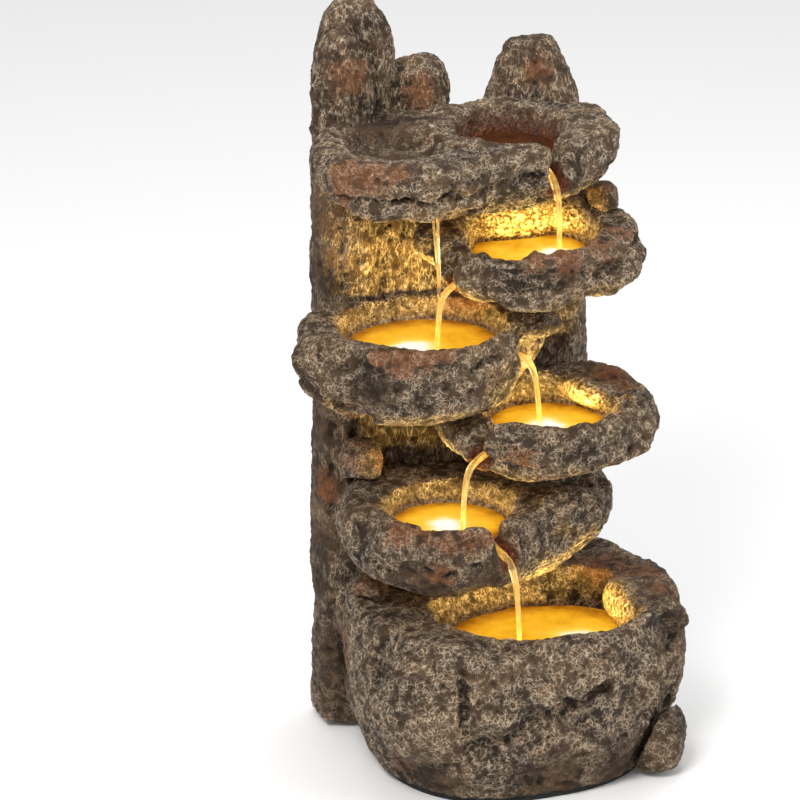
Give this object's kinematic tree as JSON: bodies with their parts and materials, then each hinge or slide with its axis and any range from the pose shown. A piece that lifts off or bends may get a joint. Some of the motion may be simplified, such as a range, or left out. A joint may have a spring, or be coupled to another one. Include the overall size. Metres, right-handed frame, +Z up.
{
  "type": "tabletop water fountain",
  "caption": "Tabletop cascade fountain: rock-look bowls stepped left and right down a hollow rock wall into a basin, with pump, hose and lamps.",
  "frame": {"origin": "middle of the resting face, under the base pad", "axes": "+Z up, front faces -Y, +X to the right seen from the front"},
  "size_m": [0.2104, 0.183, 0.402],
  "materials": {
    "cast_stone": "cast polyresin, painted dark brown and dry-brushed pale",
    "foam_pad": "matte foam",
    "cover_plastic": "fine texture",
    "screw_steel": "plain",
    "black_rubber": "matte",
    "potting_resin": "glossy potting",
    "clear_hose": "clear",
    "black_plastic": "satin",
    "ceramic_shaft": "polished",
    "impeller_plastic": "satin",
    "slider_plastic": "satin",
    "clear_rubber": "soft clear vinyl",
    "lamp_chips": "light chips on a white board",
    "lamp_lens": "clear warm",
    "water": "clear water lit from below"
  },
  "bodies": {
    "fountain": {"base_pad": "foam_pad", "reservoir_base": "cast_stone", "side_boulder": "cast_stone", "left_knob_stone": "cast_stone", "left_ledge_stone": "cast_stone", "right_perch_stone": "cast_stone", "rock_wall": "cast_stone", "crown_shelf": "cast_stone", "supply_grommet": "black_rubber", "lead_splitter": "potting_resin", "pump_lead": "black_rubber", "riser_hose": "clear_hose", "source_elbow": "black_plastic", "pump_housing": "black_plastic", "impeller_cover": "black_plastic", "impeller_shaft": "ceramic_shaft", "suction_cups": "clear_rubber", "upper_right_bowl": "cast_stone", "upper_left_bowl": "cast_stone", "lower_right_bowl": "cast_stone", "lower_left_bowl": "cast_stone", "upper_right_lamp_cup": "black_plastic", "upper_right_lamp_board": "lamp_chips", "upper_right_lamp_lens": "lamp_lens", "upper_right_lamp_lead": "black_rubber", "upper_left_lamp_cup": "black_plastic", "upper_left_lamp_board": "lamp_chips", "upper_left_lamp_lens": "lamp_lens", "upper_left_lamp_lead": "black_rubber", "lower_right_lamp_cup": "black_plastic", "lower_right_lamp_board": "lamp_chips", "lower_right_lamp_lens": "lamp_lens", "lower_right_lamp_lead": "black_rubber", "lower_left_lamp_cup": "black_plastic", "lower_left_lamp_board": "lamp_chips", "lower_left_lamp_lens": "lamp_lens", "lower_left_lamp_lead": "black_rubber", "basin_lamp_cup": "black_plastic", "basin_lamp_board": "lamp_chips", "basin_lamp_lens": "lamp_lens", "basin_lamp_lead": "black_rubber"},
    "service_cover": {"rear_cover": "cover_plastic", "cover_screws": "screw_steel"},
    "pump_intake": {"intake_cover": "black_plastic"},
    "flow_regulator": {"flow_slider": "slider_plastic"},
    "rotor": {"impeller": "impeller_plastic"}
  },
  "joints": [
    {"name": "cover_pull", "type": "slide", "parent": "fountain", "child": "service_cover", "axis": [0, 1, 0], "range_m": [0, 0.06]},
    {"name": "intake_pull", "type": "slide", "parent": "fountain", "child": "pump_intake", "axis": [-1, 0, 0], "range_m": [0, 0.02]},
    {"name": "flow_slide", "type": "slide", "parent": "pump_intake", "child": "flow_regulator", "axis": [0, 0, 1], "range_m": [0, 0.008]},
    {"name": "impeller_spin", "type": "hinge", "parent": "fountain", "child": "rotor", "pos_m": [0, 0.064, 0.032], "axis": [1, 0, 0], "continuous": true}
  ]
}
